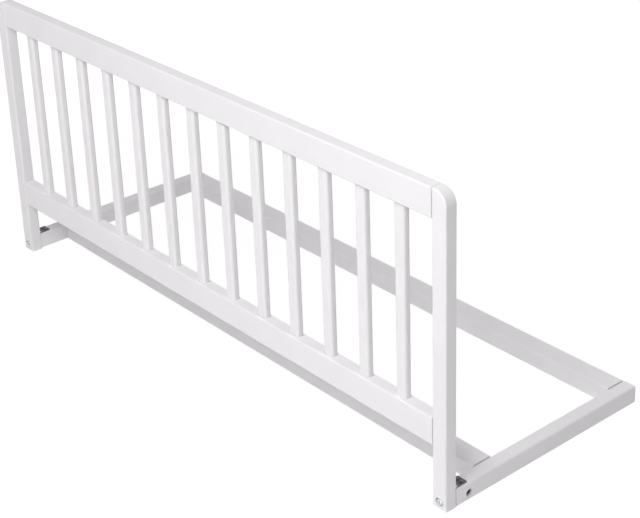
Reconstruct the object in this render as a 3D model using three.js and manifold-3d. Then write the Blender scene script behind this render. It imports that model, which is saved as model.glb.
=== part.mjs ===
// Folding bed guard rail
// A slatted wooden panel stands at the edge of a flat wooden base frame, which lies under the
// mattress, and folds in onto that frame on two small hinges for storage and travel.
// Millimetres. X runs along the rail, +Y runs in under the mattress and +Z is up.
// The origin is on the bed base, in the middle of the whole rail's footprint.

import * as THREE from "three";
import { mergeVertices } from "three/addons/utils/BufferGeometryUtils.js";
import Module from "manifold-3d";

const wasm = await Module();
wasm.setup();

// Overall size
const railLength = 1000;
const panelHeight = 437;
const baseDepth = 364;

// Posts
const postWidth = 23.5;
const panelThickness = 19;
const postCornerRadius = 20;
const postEdgeRadius = 2.5;

// Top and bottom rails of the panel
const railHeight = 40;
const bottomRailClear = 88;
const railEdgeRadius = 2.5;

// Slats
const slatCount = 13;
const slatWidth = 18;
const slatThickness = 12;
const slatEdgeRadius = 4.5;
const slatSetback = 4.5;
const slatTenon = 12;

// Base frame
const armWidth = 21;
const baseHeight = 26;
const baseRailDepth = 32.5;
const frontRailSetback = 70;
const baseEdgeRadius = 2.5;

// Dowels
const dowelRadius = 4;
const dowelChamfer = 1;
const postDowelDepth = 14;
const railDowelDepth = 18;
const armDowelDepth = 11;
const panelDowelSpacing = 20;
const baseDowelSpacing = 16;

// Hinges
const plateThickness = 1.5;
const plateLength = 20.5;
const plateFloorMargin = 3;
const plateCornerRadius = 2;
const knuckleRadius = 3;
const pinRadius = 1.6;
const pinChamfer = 0.4;
const hingeSideMargin = 2;
const collarLength = 4;
const collarWall = 1.5;

// Bolts, cross dowels and screws
const boltHeight = 10.5;
const boltRadius = 3;
const boltHeadRadius = 5;
const boltHeadHeight = 3.5;
const boltChamfer = 0.6;
const socketRadius = 2.3;
const socketDepth = 2.2;
const counterboreRadius = 6.2;
const counterboreDepth = 4.5;
const armBoltHeadDepth = 2.6;
const armBoltReach = 4;
const crossDowelRadius = 5;
const crossDowelLength = 14;
const crossDowelInset = 22.5;
const crossDowelSlot = 1.2;
const screwRadius = 1.5;
const screwHeadRadius = 2.8;
const screwHeadHeight = 1.4;
const screwTip = 2;
const postScrewLength = 11;
const plateScrewLength = 10;
const plateScrewSpacing = 8;
const plateScrewEdge = 6;

// Clearances
const jointGap = 0.3;
const woodFit = 0.15;
const threadFit = 0.12;
const pinFit = 0.2;
const seatGap = 0.2;
const runningGap = 0.3;
const endRoom = 0.5;
const endArris = 0.5;
const overrun = 1;

// Flat steps round a curve: a post's round corner, the rounding of a long edge, a small and a
// larger round piece or hole, and the socket of a bolt
const cornerSteps = 12;
const postEdgeSteps = 3;
const barEdgeSteps = 4;
const roundSides = 12;
const boreSides = 20;
const socketSides = 6;

// Places that follow from the sizes, measured from the front face of the panel
const postCentre = (railLength - postWidth) / 2;
const armCentre = (railLength - armWidth) / 2;
const hingeWidth = armWidth - 2 * hingeSideMargin;
const postPlateY = panelThickness - plateThickness;
const armStart = panelThickness + runningGap;
const hingeY = postPlateY + knuckleRadius;
const hingeZ = baseHeight + runningGap + knuckleRadius;
const crossDowelY = panelThickness + crossDowelInset;
const topRailZ = panelHeight - railHeight / 2;
const bottomRailZ = bottomRailClear + railHeight / 2;
const slatY = slatSetback + slatThickness / 2;
const frontBaseRailY = frontRailSetback + baseRailDepth / 2;
const rearBaseRailY = baseDepth - baseRailDepth / 2;
const postScrewZ = (boltHeight + boltRadius + collarWall + hingeZ - knuckleRadius) / 2;

// Finishes
const lacquer = () => new THREE.MeshStandardMaterial({ color: 0xf3f1f2, roughness: 0.42, metalness: 0 });
const bareBeech = () => new THREE.MeshStandardMaterial({ color: 0xd9bd93, roughness: 0.7, metalness: 0 });
const darkSteel = () => new THREE.MeshStandardMaterial({ color: 0x4b4d50, roughness: 0.38, metalness: 1 });
const zincSteel = () => new THREE.MeshStandardMaterial({ color: 0xc3c6c8, roughness: 0.3, metalness: 1 });

const at = (x, y, z) => new THREE.Vector3(x, y, z);

// A closed geometry as a solid that can be joined and cut
function solidOf(geometry) {
  const shell = geometry.clone();
  shell.deleteAttribute("normal");
  shell.deleteAttribute("uv");
  const closed = mergeVertices(shell);
  const vertProperties = new Float32Array(closed.attributes.position.array);
  const triVerts = new Uint32Array(closed.index.array);
  return new wasm.Manifold(new wasm.Mesh({ numProp: 3, vertProperties, triVerts }));
}

// The solid back as a geometry with flat faces
function geometryOf(solid) {
  const { vertProperties, triVerts } = solid.getMesh();
  const indexed = new THREE.BufferGeometry();
  indexed.setAttribute("position", new THREE.BufferAttribute(new Float32Array(vertProperties), 3));
  indexed.setIndex(new THREE.BufferAttribute(new Uint32Array(triVerts), 1));
  const geometry = indexed.toNonIndexed();
  geometry.computeVertexNormals();
  return geometry;
}

// A blank with pieces added to it and then holes cut from it
function machined(blank, additions, holes) {
  const joined = additions.reduce((body, more) => body.add(solidOf(more)), solidOf(blank));
  return geometryOf(holes.reduce((body, hole) => body.subtract(solidOf(hole)), joined));
}

// A round rod, or a cone where the two radii differ, between two points
function taper(startRadius, endRadius, start, end, sides = roundSides) {
  const along = end.clone().sub(start);
  const middle = start.clone().add(end).divideScalar(2);
  const geometry = new THREE.CylinderGeometry(endRadius, startRadius, along.length(), sides);
  const turn = new THREE.Quaternion().setFromUnitVectors(at(0, 1, 0), along.normalize());
  geometry.applyQuaternion(turn);
  geometry.translate(middle.x, middle.y, middle.z);
  return geometry;
}

const rod = (radius, start, end, sides) => taper(radius, radius, start, end, sides);

// A block given by its lowest and highest corners
function block(low, high) {
  const size = high.clone().sub(low);
  const geometry = new THREE.BoxGeometry(size.x, size.y, size.z);
  geometry.translate((low.x + high.x) / 2, (low.y + high.y) / 2, (low.z + high.z) / 2);
  return geometry;
}

// A rectangle centred on the origin with rounded corners
function roundedRectangle(width, height, radius) {
  const right = width / 2 - radius;
  const top = height / 2 - radius;
  const outline = new THREE.Shape();
  outline.absarc(right, top, radius, 0, Math.PI / 2);
  outline.absarc(-right, top, radius, Math.PI / 2, Math.PI);
  outline.absarc(-right, -top, radius, Math.PI, Math.PI * 1.5);
  outline.absarc(right, -top, radius, Math.PI * 1.5, Math.PI * 2);
  outline.closePath();
  return outline;
}

// A bar along Z from zero up, with rounded long edges and a fine arris round each end.
// An arc in a shape gets two flat steps for each curve segment.
function bar(width, thickness, length, edgeRadius, arris) {
  const geometry = new THREE.ExtrudeGeometry(roundedRectangle(width, thickness, edgeRadius), {
    depth: length - 2 * arris,
    curveSegments: barEdgeSteps / 2,
    bevelEnabled: arris > 0,
    bevelThickness: arris,
    bevelSize: arris,
    bevelOffset: -arris,
    bevelSegments: 1,
  });
  geometry.translate(0, 0, arris);
  return geometry;
}

// The same bar laid along X, centred on it, with its height along Z
function barAlongX(height, thickness, length, edgeRadius) {
  const geometry = bar(height, thickness, length, edgeRadius, endArris);
  geometry.translate(0, 0, -length / 2);
  geometry.rotateY(Math.PI / 2);
  return geometry;
}

// The same bar laid along Y from zero on, with its height along Z
function barAlongY(width, height, length, edgeRadius) {
  const geometry = bar(width, height, length, edgeRadius, endArris);
  geometry.rotateX(-Math.PI / 2);
  return geometry;
}

// A plain thick sheet cut to an outline in the YZ plane and centred on X
function sheetAcrossX(outline, width) {
  const geometry = new THREE.ExtrudeGeometry(outline, { depth: width, bevelEnabled: false });
  geometry.translate(0, 0, -width / 2);
  geometry.applyMatrix4(new THREE.Matrix4().makeBasis(at(0, 1, 0), at(0, 0, 1), at(1, 0, 0)));
  return geometry;
}

const guardPanel = new THREE.Group();
const baseFrame = new THREE.Group();
const rail = new THREE.Group();
rail.add(baseFrame, guardPanel);
rail.position.y = -baseDepth / 2;

// Names a piece, gives it its finish and places it in its group
function fit(group, name, geometry, material, place) {
  const mesh = new THREE.Mesh(geometry, material);
  mesh.name = name;
  mesh.position.copy(place);
  group.add(mesh);
  return mesh;
}

// Outline of a post in the XZ plane. Its round top corner stops short of the inner edge,
// which keeps its own rounding.
function postOutline(side) {
  const half = postWidth / 2;
  const radius = Math.min(postCornerRadius, postWidth - postEdgeRadius - endArris);
  const outline = new THREE.Shape();
  outline.moveTo(-side * half, 0);
  outline.lineTo(side * half, 0);
  for (let step = 0; step <= cornerSteps; step += 1) {
    const angle = (Math.PI / 2) * (step / cornerSteps);
    const across = half - radius + radius * Math.cos(angle);
    const up = panelHeight - radius + radius * Math.sin(angle);
    outline.lineTo(side * across, up);
  }
  outline.lineTo(-side * half, panelHeight);
  outline.closePath();
  return outline;
}

// Post: full height, drilled for dowels, and at its foot for the bolt, the collar and a screw,
// with a shallow recess in its back that takes the hinge's post plate and the front of its knuckles
function post(side) {
  const blank = new THREE.ExtrudeGeometry(postOutline(side), {
    depth: panelThickness - 2 * postEdgeRadius,
    bevelEnabled: true,
    bevelThickness: postEdgeRadius,
    bevelSize: postEdgeRadius,
    bevelOffset: -postEdgeRadius,
    bevelSegments: postEdgeSteps,
  });
  blank.rotateX(Math.PI / 2);
  blank.translate(0, panelThickness - postEdgeRadius, 0);
  const back = panelThickness + overrun;
  const collarRadius = boltRadius + collarWall + runningGap;
  const collarFloor = postPlateY - collarLength - endRoom;
  const plateX = side * (armCentre - postCentre);
  const plateHalf = hingeWidth / 2 + seatGap;
  const plateLow = at(plateX - plateHalf, postPlateY - seatGap, plateFloorMargin - seatGap);
  const plateHigh = at(plateX + plateHalf, back, hingeZ + knuckleRadius + runningGap);
  const screwFloor = panelThickness - postScrewLength - endRoom;
  const counterboreFloor = at(0, counterboreDepth, boltHeight);
  const holes = [
    rod(counterboreRadius, at(0, -overrun, boltHeight), counterboreFloor, boreSides),
    rod(boltRadius + runningGap, at(0, 0, boltHeight), at(0, back, boltHeight)),
    rod(collarRadius, at(0, collarFloor, boltHeight), at(0, back, boltHeight)),
    rod(screwRadius + woodFit, at(plateX, screwFloor, postScrewZ), at(plateX, back, postScrewZ)),
    block(plateLow, plateHigh),
  ];
  for (const height of dowelHeights()) {
    const floor = at(side * (postDowelDepth + endRoom - postWidth / 2), panelThickness / 2, height);
    const mouth = at(-side * (postWidth / 2 + overrun), panelThickness / 2, height);
    holes.push(rod(dowelRadius + woodFit, floor, mouth));
  }
  return machined(blank, [], holes);
}

// Heights of the dowels that pin the two panel rails to a post
function dowelHeights() {
  const pair = [-panelDowelSpacing / 2, panelDowelSpacing / 2];
  return [topRailZ, bottomRailZ].flatMap((height) => pair.map((step) => height + step));
}

// Places of the slats along the rail, with equal gaps between slats and to the posts
function slatPlaces() {
  const clear = railLength - 2 * postWidth;
  const gap = (clear - slatCount * slatWidth) / (slatCount + 1);
  return Array.from({ length: slatCount }, (_, index) => {
    return -clear / 2 + gap + slatWidth / 2 + index * (gap + slatWidth);
  });
}

// Panel rail: rounded edges, a row of blind mortises for the slats, and dowel holes in its ends
function panelRail(mortiseFace) {
  const length = railLength - 2 * (postWidth + jointGap);
  const blank = barAlongX(railHeight, panelThickness, length, railEdgeRadius);
  const depth = slatTenon + endRoom;
  const width = slatWidth + 2 * woodFit;
  const thickness = slatThickness + 2 * woodFit;
  const mortises = slatPlaces().map((place) => {
    const mortise = bar(width, thickness, depth + overrun, slatEdgeRadius, 0);
    const start = mortiseFace > 0 ? railHeight / 2 - depth : -railHeight / 2 - overrun;
    mortise.translate(place, slatY - panelThickness / 2, start);
    return mortise;
  });
  const dowelHoles = [-1, 1].flatMap((end) =>
    [-panelDowelSpacing / 2, panelDowelSpacing / 2].map((height) => {
      const floor = end * (length / 2 - railDowelDepth - endRoom);
      return rod(dowelRadius + woodFit, at(floor, 0, height), at(end * (length / 2 + overrun), 0, height));
    }),
  );
  return machined(blank, [], [...mortises, ...dowelHoles]);
}

// Slat: a flat bar with well rounded edges, let into both rails
function slat() {
  const clear = topRailZ - bottomRailZ - railHeight;
  return bar(slatWidth, slatThickness, clear + 2 * slatTenon, slatEdgeRadius, 0);
}

// Dowel: a beech pin along X with chamfered ends
function dowel(length) {
  const profile = [
    new THREE.Vector2(0, -length / 2),
    new THREE.Vector2(dowelRadius - dowelChamfer, -length / 2),
    new THREE.Vector2(dowelRadius, dowelChamfer - length / 2),
    new THREE.Vector2(dowelRadius, length / 2 - dowelChamfer),
    new THREE.Vector2(dowelRadius - dowelChamfer, length / 2),
    new THREE.Vector2(0, length / 2),
  ];
  const geometry = new THREE.LatheGeometry(profile, roundSides);
  geometry.rotateZ(-Math.PI / 2);
  return geometry;
}

// Arm: runs from the post to the back, flush with the post outside, with a shallow recess in its
// front end for the hinge's arm plate
function arm(side) {
  const length = baseDepth - armStart;
  const blank = barAlongY(armWidth, baseHeight, length, baseEdgeRadius);
  const outer = side * (armWidth / 2 + overrun);
  const inner = -side * (armWidth / 2 + overrun);
  const crossY = crossDowelY - armStart;
  const boltZ = boltHeight - baseHeight / 2;
  const crossFloor = -side * (crossDowelLength / 2 + endRoom);
  const boltEnd = crossY + crossDowelRadius + armBoltReach + endRoom;
  const plateHalf = hingeWidth / 2 + seatGap;
  const plateLow = at(-plateHalf, -overrun, plateFloorMargin - seatGap - baseHeight / 2);
  const plateHigh = at(plateHalf, plateThickness + seatGap, baseHeight / 2 + overrun);
  const holes = [
    rod(crossDowelRadius + woodFit, at(outer, crossY, boltZ), at(crossFloor, crossY, boltZ), boreSides),
    rod(boltRadius + woodFit, at(0, -overrun, boltZ), at(0, boltEnd, boltZ)),
    armBoltSeat(0, boltZ),
    block(plateLow, plateHigh),
  ];
  for (const place of plateScrewPlaces()) {
    const top = at(place, plateScrewY() - armStart, baseHeight / 2 + overrun);
    const floor = at(place, plateScrewY() - armStart, baseHeight / 2 - plateScrewLength);
    holes.push(rod(screwRadius + woodFit, floor, top));
  }
  for (const dowelY of baseDowelRows()) {
    const floor = at(-side * (armWidth / 2 - armDowelDepth - endRoom), dowelY - armStart, 0);
    holes.push(rod(dowelRadius + woodFit, floor, at(inner, dowelY - armStart, 0)));
  }
  return machined(blank, [], holes);
}

// Distances in from the front of the four rows of dowels that join the base rails to an arm
function baseDowelRows() {
  const pair = [-baseDowelSpacing / 2, baseDowelSpacing / 2];
  return [frontBaseRailY, rearBaseRailY].flatMap((row) => pair.map((step) => row + step));
}

// Base rail: lies flat between the arms, with two dowel holes in each end
function baseRail() {
  const length = railLength - 2 * (armWidth + jointGap);
  const blank = barAlongX(baseHeight, baseRailDepth, length, baseEdgeRadius);
  const holes = [-1, 1].flatMap((end) =>
    [-baseDowelSpacing / 2, baseDowelSpacing / 2].map((across) => {
      const floor = end * (length / 2 - railDowelDepth - endRoom);
      return rod(dowelRadius + woodFit, at(floor, across, 0), at(end * (length / 2 + overrun), across, 0));
    }),
  );
  return machined(blank, [], holes);
}

// Places across the arm of the two screws in a hinge's top plate
const plateScrewPlaces = () => [-plateScrewSpacing / 2, plateScrewSpacing / 2];

// Distance of those screws from the front of the panel
const plateScrewY = () => armStart + plateLength - plateScrewEdge;

// Widths of a hinge's three knuckles, worked out so that they share its width
const knuckleWidth = (hingeWidth - 2 * runningGap) / 3;
const knuckleStep = knuckleWidth + runningGap;

// One knuckle round the hinge axis, with no hole yet
function knuckle(place) {
  const half = knuckleWidth / 2;
  return rod(knuckleRadius, at(place - half, 0, 0), at(place + half, 0, 0), boreSides);
}

// The hole for the hinge pin, right through the hinge
function pinHole() {
  const reach = hingeWidth / 2 + overrun;
  return rod(pinRadius + pinFit, at(-reach, 0, 0), at(reach, 0, 0), boreSides);
}

// Post plate: lies flush in the back of the post and carries the two outer knuckles
// and a threaded collar for the post bolt. Its origin is on the hinge axis.
function postPlate(side) {
  const front = postPlateY - hingeY;
  const back = front + plateThickness;
  const bottom = plateFloorMargin - hingeZ;
  const notch = -(knuckleRadius + runningGap);
  const half = hingeWidth / 2;
  const blank = block(at(-half, front, bottom), at(half, back, notch));
  const tabs = [-knuckleStep, knuckleStep].map((place) => {
    const low = at(place - knuckleWidth / 2, front, notch - plateThickness);
    return block(low, at(place + knuckleWidth / 2, back, 0));
  });
  const knuckles = [-knuckleStep, knuckleStep].map(knuckle);
  const boltX = side * (postCentre - armCentre);
  const boltZ = boltHeight - hingeZ;
  const collarFront = front - collarLength;
  const collar = rod(boltRadius + collarWall, at(boltX, collarFront, boltZ), at(boltX, back, boltZ));
  const screwZ = postScrewZ - hingeZ;
  const holes = [
    pinHole(),
    rod(boltRadius + threadFit, at(boltX, collarFront - overrun, boltZ), at(boltX, back + overrun, boltZ)),
    countersink(at(0, back, screwZ), at(0, -1, 0)),
  ];
  return machined(blank, [...tabs, ...knuckles, collar], holes);
}

// The cone and clearance hole for a countersunk screw, from its head's face along a direction
function countersink(face, along) {
  const rise = along.clone().multiplyScalar(-overrun).add(face);
  const neck = along.clone().multiplyScalar(screwHeadHeight).add(face);
  const end = along.clone().multiplyScalar(plateThickness + overrun).add(face);
  const head = solidOf(taper(screwHeadRadius + woodFit, screwRadius + woodFit, face, neck));
  const mouth = solidOf(rod(screwHeadRadius + woodFit, rise, face));
  const shank = solidOf(rod(screwRadius + woodFit, face, end));
  return geometryOf(head.add(mouth).add(shank));
}

// Arm plate: an angle over the arm's front end that carries the middle knuckle and is cut away
// round the two outer ones. Its origin is on the hinge axis.
function armPlate() {
  const front = armStart - hingeY;
  const under = baseHeight + seatGap - hingeZ;
  const top = under + plateThickness;
  const half = hingeWidth / 2;
  const outline = new THREE.Shape();
  outline.moveTo(front, plateFloorMargin - hingeZ);
  outline.lineTo(front + plateThickness, plateFloorMargin - hingeZ);
  outline.lineTo(front + plateThickness, under);
  outline.lineTo(front + plateLength, under);
  outline.lineTo(front + plateLength, top);
  outline.lineTo(front, top);
  outline.closePath();
  const blank = sheetAcrossX(outline, hingeWidth);
  const clear = knuckleRadius + runningGap;
  const reach = knuckleWidth / 2 + runningGap;
  const notches = [-knuckleStep, knuckleStep].map((place) => {
    const low = at(place - reach, front - overrun, -clear);
    return block(low, at(place + reach, clear, top + overrun));
  });
  const screwY = plateScrewY() - hingeY;
  const corners = [-1, 1].map((end) => plateCorner(end * half, front + plateLength, under, end));
  const screwHoles = plateScrewPlaces().map((place) => {
    const floor = at(place, screwY, under - overrun);
    return rod(screwRadius + woodFit, floor, at(place, screwY, top + overrun));
  });
  const leaf = machined(blank, [], notches);
  const holes = [pinHole(), ...corners, armBoltSeat(front, boltHeight - hingeZ), ...screwHoles];
  return machined(leaf, [knuckle(0)], holes);
}

// The conical seat for the arm bolt's head, from the arm plate's face into the wood behind it
function armBoltSeat(face, height) {
  const rim = at(0, face, height);
  const floor = at(0, face + armBoltHeadDepth, height);
  const mouth = rod(boltHeadRadius + woodFit, at(0, face - overrun, height), rim, boreSides);
  const cone = taper(boltHeadRadius + woodFit, boltRadius + woodFit, rim, floor, boreSides);
  return geometryOf(solidOf(mouth).add(solidOf(cone)));
}

// What is cut away to round one back corner of the arm plate
function plateCorner(x, y, under, end) {
  const reach = plateCornerRadius + overrun;
  const low = under - overrun;
  const high = under + plateThickness + overrun;
  const centreX = x - end * plateCornerRadius;
  const centreY = y - plateCornerRadius;
  const xs = [centreX, centreX + end * reach].sort((a, b) => a - b);
  const square = solidOf(block(at(xs[0], centreY, low), at(xs[1], centreY + reach, high)));
  const axis = [at(centreX, centreY, low - overrun), at(centreX, centreY, high + overrun)];
  const round = rod(plateCornerRadius, axis[0], axis[1]);
  return geometryOf(square.subtract(solidOf(round)));
}

// Hinge pin along X, with chamfered ends that stop flush with the outer knuckles
function hingePin() {
  const half = hingeWidth / 2;
  const straight = half - pinChamfer;
  const ends = [-1, 1].map((end) => {
    return taper(pinRadius, pinRadius - pinChamfer, at(end * straight, 0, 0), at(end * half, 0, 0));
  });
  return machined(rod(pinRadius, at(-straight, 0, 0), at(straight, 0, 0)), ends, []);
}

// The hexagon socket in a bolt's head, along Y from its face
function hexagonSocket(face) {
  return rod(socketRadius, at(0, face - overrun, 0), at(0, face + socketDepth, 0), socketSides);
}

// Post bolt: a cap bolt along Y, sunk in the front of the post, that screws into the collar
function postBolt() {
  const length = panelThickness - counterboreDepth - endRoom;
  const face = -boltHeadHeight;
  const rim = at(0, face + boltChamfer, 0);
  const head = rod(boltHeadRadius, rim, at(0, 0, 0), boreSides);
  const crown = taper(boltHeadRadius - boltChamfer, boltHeadRadius, at(0, face, 0), rim, boreSides);
  const shoulder = at(0, length - boltChamfer, 0);
  const shank = rod(boltRadius, at(0, -boltChamfer, 0), shoulder);
  const point = taper(boltRadius, boltRadius - boltChamfer, shoulder, at(0, length, 0));
  return machined(head, [crown, shank, point], [hexagonSocket(face)]);
}

// Arm bolt: a countersunk bolt along Y from the arm plate's face into the cross dowel
function armBolt() {
  const length = crossDowelY + crossDowelRadius + armBoltReach - armStart;
  const head = taper(boltHeadRadius, boltRadius, at(0, 0, 0), at(0, armBoltHeadDepth, 0), boreSides);
  const shank = rod(boltRadius, at(0, boltChamfer, 0), at(0, length, 0));
  return machined(head, [shank], [hexagonSocket(0)]);
}

// Cross dowel: a steel barrel along X with a cross hole for the arm bolt and a slot in its outer end
function crossDowel(side) {
  const half = crossDowelLength / 2;
  const blank = rod(crossDowelRadius, at(-half, 0, 0), at(half, 0, 0), boreSides);
  const reach = crossDowelRadius + overrun;
  const thread = rod(boltRadius + threadFit, at(0, -reach, 0), at(0, reach, 0));
  const depths = [side * (half - crossDowelSlot), side * (half + overrun)].sort((a, b) => a - b);
  const slot = block(at(depths[0], -crossDowelSlot / 2, -reach), at(depths[1], crossDowelSlot / 2, reach));
  return machined(blank, [], [thread, slot]);
}

// Post screw: a countersunk wood screw along -Y, its face flush with the post plate
function postScrew() {
  const neck = screwHeadHeight / 2;
  const head = taper(screwHeadRadius, screwRadius, at(0, 0, 0), at(0, -screwHeadHeight, 0));
  const shoulder = at(0, screwTip - postScrewLength, 0);
  const shank = rod(screwRadius, at(0, -neck, 0), shoulder);
  const tip = taper(screwRadius, screwRadius / 2, shoulder, at(0, -postScrewLength, 0));
  return machined(head, [shank, tip], []);
}

// Plate screw: a pan-head wood screw along -Z, its head on the arm plate
function plateScrew() {
  const crown = screwHeadHeight / 2;
  const length = plateScrewLength - endRoom;
  const head = rod(screwHeadRadius, at(0, 0, 0), at(0, 0, crown));
  const dome = taper(screwHeadRadius, screwHeadRadius - crown, at(0, 0, crown), at(0, 0, screwHeadHeight));
  const shank = rod(screwRadius, at(0, 0, crown), at(0, 0, screwTip - length));
  const tip = taper(screwRadius, screwRadius / 2, at(0, 0, screwTip - length), at(0, 0, -length));
  return machined(head, [dome, shank, tip], []);
}

// Guard panel: posts, rails and slats
const sides = [
  { name: "left", side: -1 },
  { name: "right", side: 1 },
];
for (const { name, side } of sides) {
  fit(guardPanel, `${name}_post`, post(side), lacquer(), at(side * postCentre, 0, 0));
}
fit(guardPanel, "top_rail", panelRail(-1), lacquer(), at(0, panelThickness / 2, topRailZ));
fit(guardPanel, "bottom_rail", panelRail(1), lacquer(), at(0, panelThickness / 2, bottomRailZ));
const slatFoot = bottomRailZ + railHeight / 2 - slatTenon;
slatPlaces().forEach((place, index) => {
  const name = `slat_${String(index + 1).padStart(2, "0")}`;
  fit(guardPanel, name, slat(), lacquer(), at(place, slatY, slatFoot));
});

// Base frame: arms and base rails
for (const { name, side } of sides) {
  fit(baseFrame, `${name}_arm`, arm(side), lacquer(), at(side * armCentre, armStart, baseHeight / 2));
}
fit(baseFrame, "front_base_rail", baseRail(), lacquer(), at(0, frontBaseRailY, baseHeight / 2));
fit(baseFrame, "rear_base_rail", baseRail(), lacquer(), at(0, rearBaseRailY, baseHeight / 2));

// A dowel that is let into two pieces from the gap between them, at one end of the rail.
// outerFace is the distance from the middle of the rail to the gap's outer side.
function fitDowel(group, name, side, outerFace, outerDepth, row, height) {
  const length = outerDepth + jointGap + railDowelDepth;
  const centre = outerFace + outerDepth - length / 2;
  fit(group, name, dowel(length), bareBeech(), at(side * centre, row, height));
}

// Dowels in the panel's four corners and in the base frame's four corners
for (const { name, side } of sides) {
  dowelHeights().forEach((height, index) => {
    const dowelName = `${name}_${index < 2 ? "top" : "bottom"}_rail_dowel_${index % 2 ? "a" : "b"}`;
    const face = railLength / 2 - postWidth;
    fitDowel(guardPanel, dowelName, side, face, postDowelDepth, panelThickness / 2, height);
  });
  baseDowelRows().forEach((row, index) => {
    const dowelName = `${name}_${index < 2 ? "front" : "rear"}_base_dowel_${index % 2 ? "b" : "a"}`;
    fitDowel(baseFrame, dowelName, side, railLength / 2 - armWidth, armDowelDepth, row, baseHeight / 2);
  });
}

// Hinges and their fastenings, one set at each end
for (const { name, side } of sides) {
  const armX = side * armCentre;
  const axis = at(armX, hingeY, hingeZ);
  fit(guardPanel, `${name}_hinge_post_plate`, postPlate(side), darkSteel(), axis);
  fit(baseFrame, `${name}_hinge_arm_plate`, armPlate(), darkSteel(), axis);
  fit(baseFrame, `${name}_hinge_pin`, hingePin(), zincSteel(), axis);
  const boltPlace = at(side * postCentre, counterboreDepth, boltHeight);
  fit(guardPanel, `${name}_post_bolt`, postBolt(), zincSteel(), boltPlace);
  const screwPlace = at(armX, panelThickness, postScrewZ);
  fit(guardPanel, `${name}_post_screw`, postScrew(), zincSteel(), screwPlace);
  fit(baseFrame, `${name}_arm_bolt`, armBolt(), zincSteel(), at(armX, armStart, boltHeight));
  fit(baseFrame, `${name}_cross_dowel`, crossDowel(side), darkSteel(), at(armX, crossDowelY, boltHeight));
  plateScrewPlaces().forEach((across, index) => {
    const place = at(armX + across, plateScrewY(), baseHeight + seatGap + plateThickness);
    fit(baseFrame, `${name}_plate_screw_${index + 1}`, plateScrew(), darkSteel(), place);
  });
}

export default rail;
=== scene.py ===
import math
import bmesh
import bpy
from mathutils import Matrix, Vector


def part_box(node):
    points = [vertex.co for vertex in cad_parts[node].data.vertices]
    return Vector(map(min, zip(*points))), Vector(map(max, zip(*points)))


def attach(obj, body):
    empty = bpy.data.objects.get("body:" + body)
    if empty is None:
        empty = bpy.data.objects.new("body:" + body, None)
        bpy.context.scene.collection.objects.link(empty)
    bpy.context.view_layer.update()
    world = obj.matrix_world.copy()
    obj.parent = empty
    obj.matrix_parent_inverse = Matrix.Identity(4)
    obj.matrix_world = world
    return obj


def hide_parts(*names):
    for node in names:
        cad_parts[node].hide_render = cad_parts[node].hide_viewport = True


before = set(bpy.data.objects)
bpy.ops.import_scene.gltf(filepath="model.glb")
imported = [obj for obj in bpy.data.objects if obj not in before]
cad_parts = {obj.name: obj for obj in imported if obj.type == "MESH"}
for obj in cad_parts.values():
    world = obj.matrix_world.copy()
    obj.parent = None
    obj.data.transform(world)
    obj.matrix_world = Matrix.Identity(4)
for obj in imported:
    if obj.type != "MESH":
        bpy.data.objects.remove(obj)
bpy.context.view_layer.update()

# Viewpoint
# The rail is seen from outside the bed, past its right end and a little from above, through a long
# lens. A small shift frames the part of the view that lies just below the line of sight.
sight_right = Vector((0.650449, 0.758853, -0.03253))
sight_down = Vector((0.289909, -0.287624, -0.912812))
sight_ahead = Vector((-0.702047, 0.584306, -0.407083))
lens = bpy.data.cameras.new("long_lens")
lens.sensor_width = 36
lens.lens = 88.693
lens.shift_y = -0.1547
lens.clip_start = 0.05
camera = bpy.data.objects.new("camera", lens)
camera.matrix_world = Matrix((sight_right, -sight_down, -sight_ahead)).transposed().to_4x4()
camera.location = (1.64037, -1.3129, 1.19718)
bpy.context.scene.collection.objects.link(camera)
bpy.context.scene.camera = camera

# Posts
# Two planed beech uprights that carry the whole panel, with the top outer corner cut to a wide round
# and every edge softened on a router table. Each is bored for dowels, and its foot is counterbored
# in front for a bolt and let in behind for the hinge plate. They are sprayed with white lacquer.
mm = 0.001
X, Y, Z = 0, 1, 2
sides = {"left": -1, "right": 1}
post_corner = 20 * mm
post_edge = 2.5 * mm
foot_arris = 0.6 * mm
counterbore_radius = 6.2 * mm
counterbore_depth = 4.5 * mm
counterbore_arris = 0.35 * mm
bolt_hole_radius = 3.15 * mm
collar_hole_radius = 4.8 * mm
# The room that holes leave round a dowel, past the end of what they hold, and round a hinge plate
dowel_room = 0.12 * mm
end_room = 0.4 * mm
let_in_room = 0.2 * mm
# A pilot hole is this much smaller in radius than the head of its screw
pilot_step = 1.2 * mm
# A tool reaches this far past the surface that it cuts
past = 1 * mm
# Two places closer than this are taken as one
near = 0.1 * mm
# A direction lies mostly along an axis above the first share, and hardly at all below the second
mostly = 0.9
hardly = 0.1
# How many flat sides stand for a round one
round_facets = 48
# Edges that turn by more degrees than this stay sharp to the eye
sharp_turn = 33


def linear(code):
    """The linear red, green, blue and alpha of an sRGB hex colour"""
    parts = [int(code[i:i + 2], 16) / 255 for i in (0, 2, 4)]
    return [p / 12.92 if p <= 0.04045 else ((p + 0.055) / 1.055) ** 2.4 for p in parts] + [1]


def wire(tree, node, inputs):
    """Sets a node's inputs, each to a value or to an output that it is linked from"""
    for name, value in inputs.items():
        if isinstance(value, bpy.types.NodeSocket):
            tree.links.new(value, node.inputs[name])
        else:
            node.inputs[name].default_value = value


def add(tree, kind, inputs=(), **settings):
    """Adds a node to a tree with its settings and inputs"""
    node = tree.nodes.new(kind)
    for name, value in settings.items():
        setattr(node, name, value)
    wire(tree, node, dict(inputs))
    return node


def new_finish(name):
    """A new material with its node tree, its shader and the place on the piece to draw patterns by"""
    material = bpy.data.materials.new(name)
    material.use_nodes = True
    tree = material.node_tree
    place = add(tree, "ShaderNodeTexCoord").outputs["Object"]
    return material, tree, tree.nodes["Principled BSDF"], place


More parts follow.
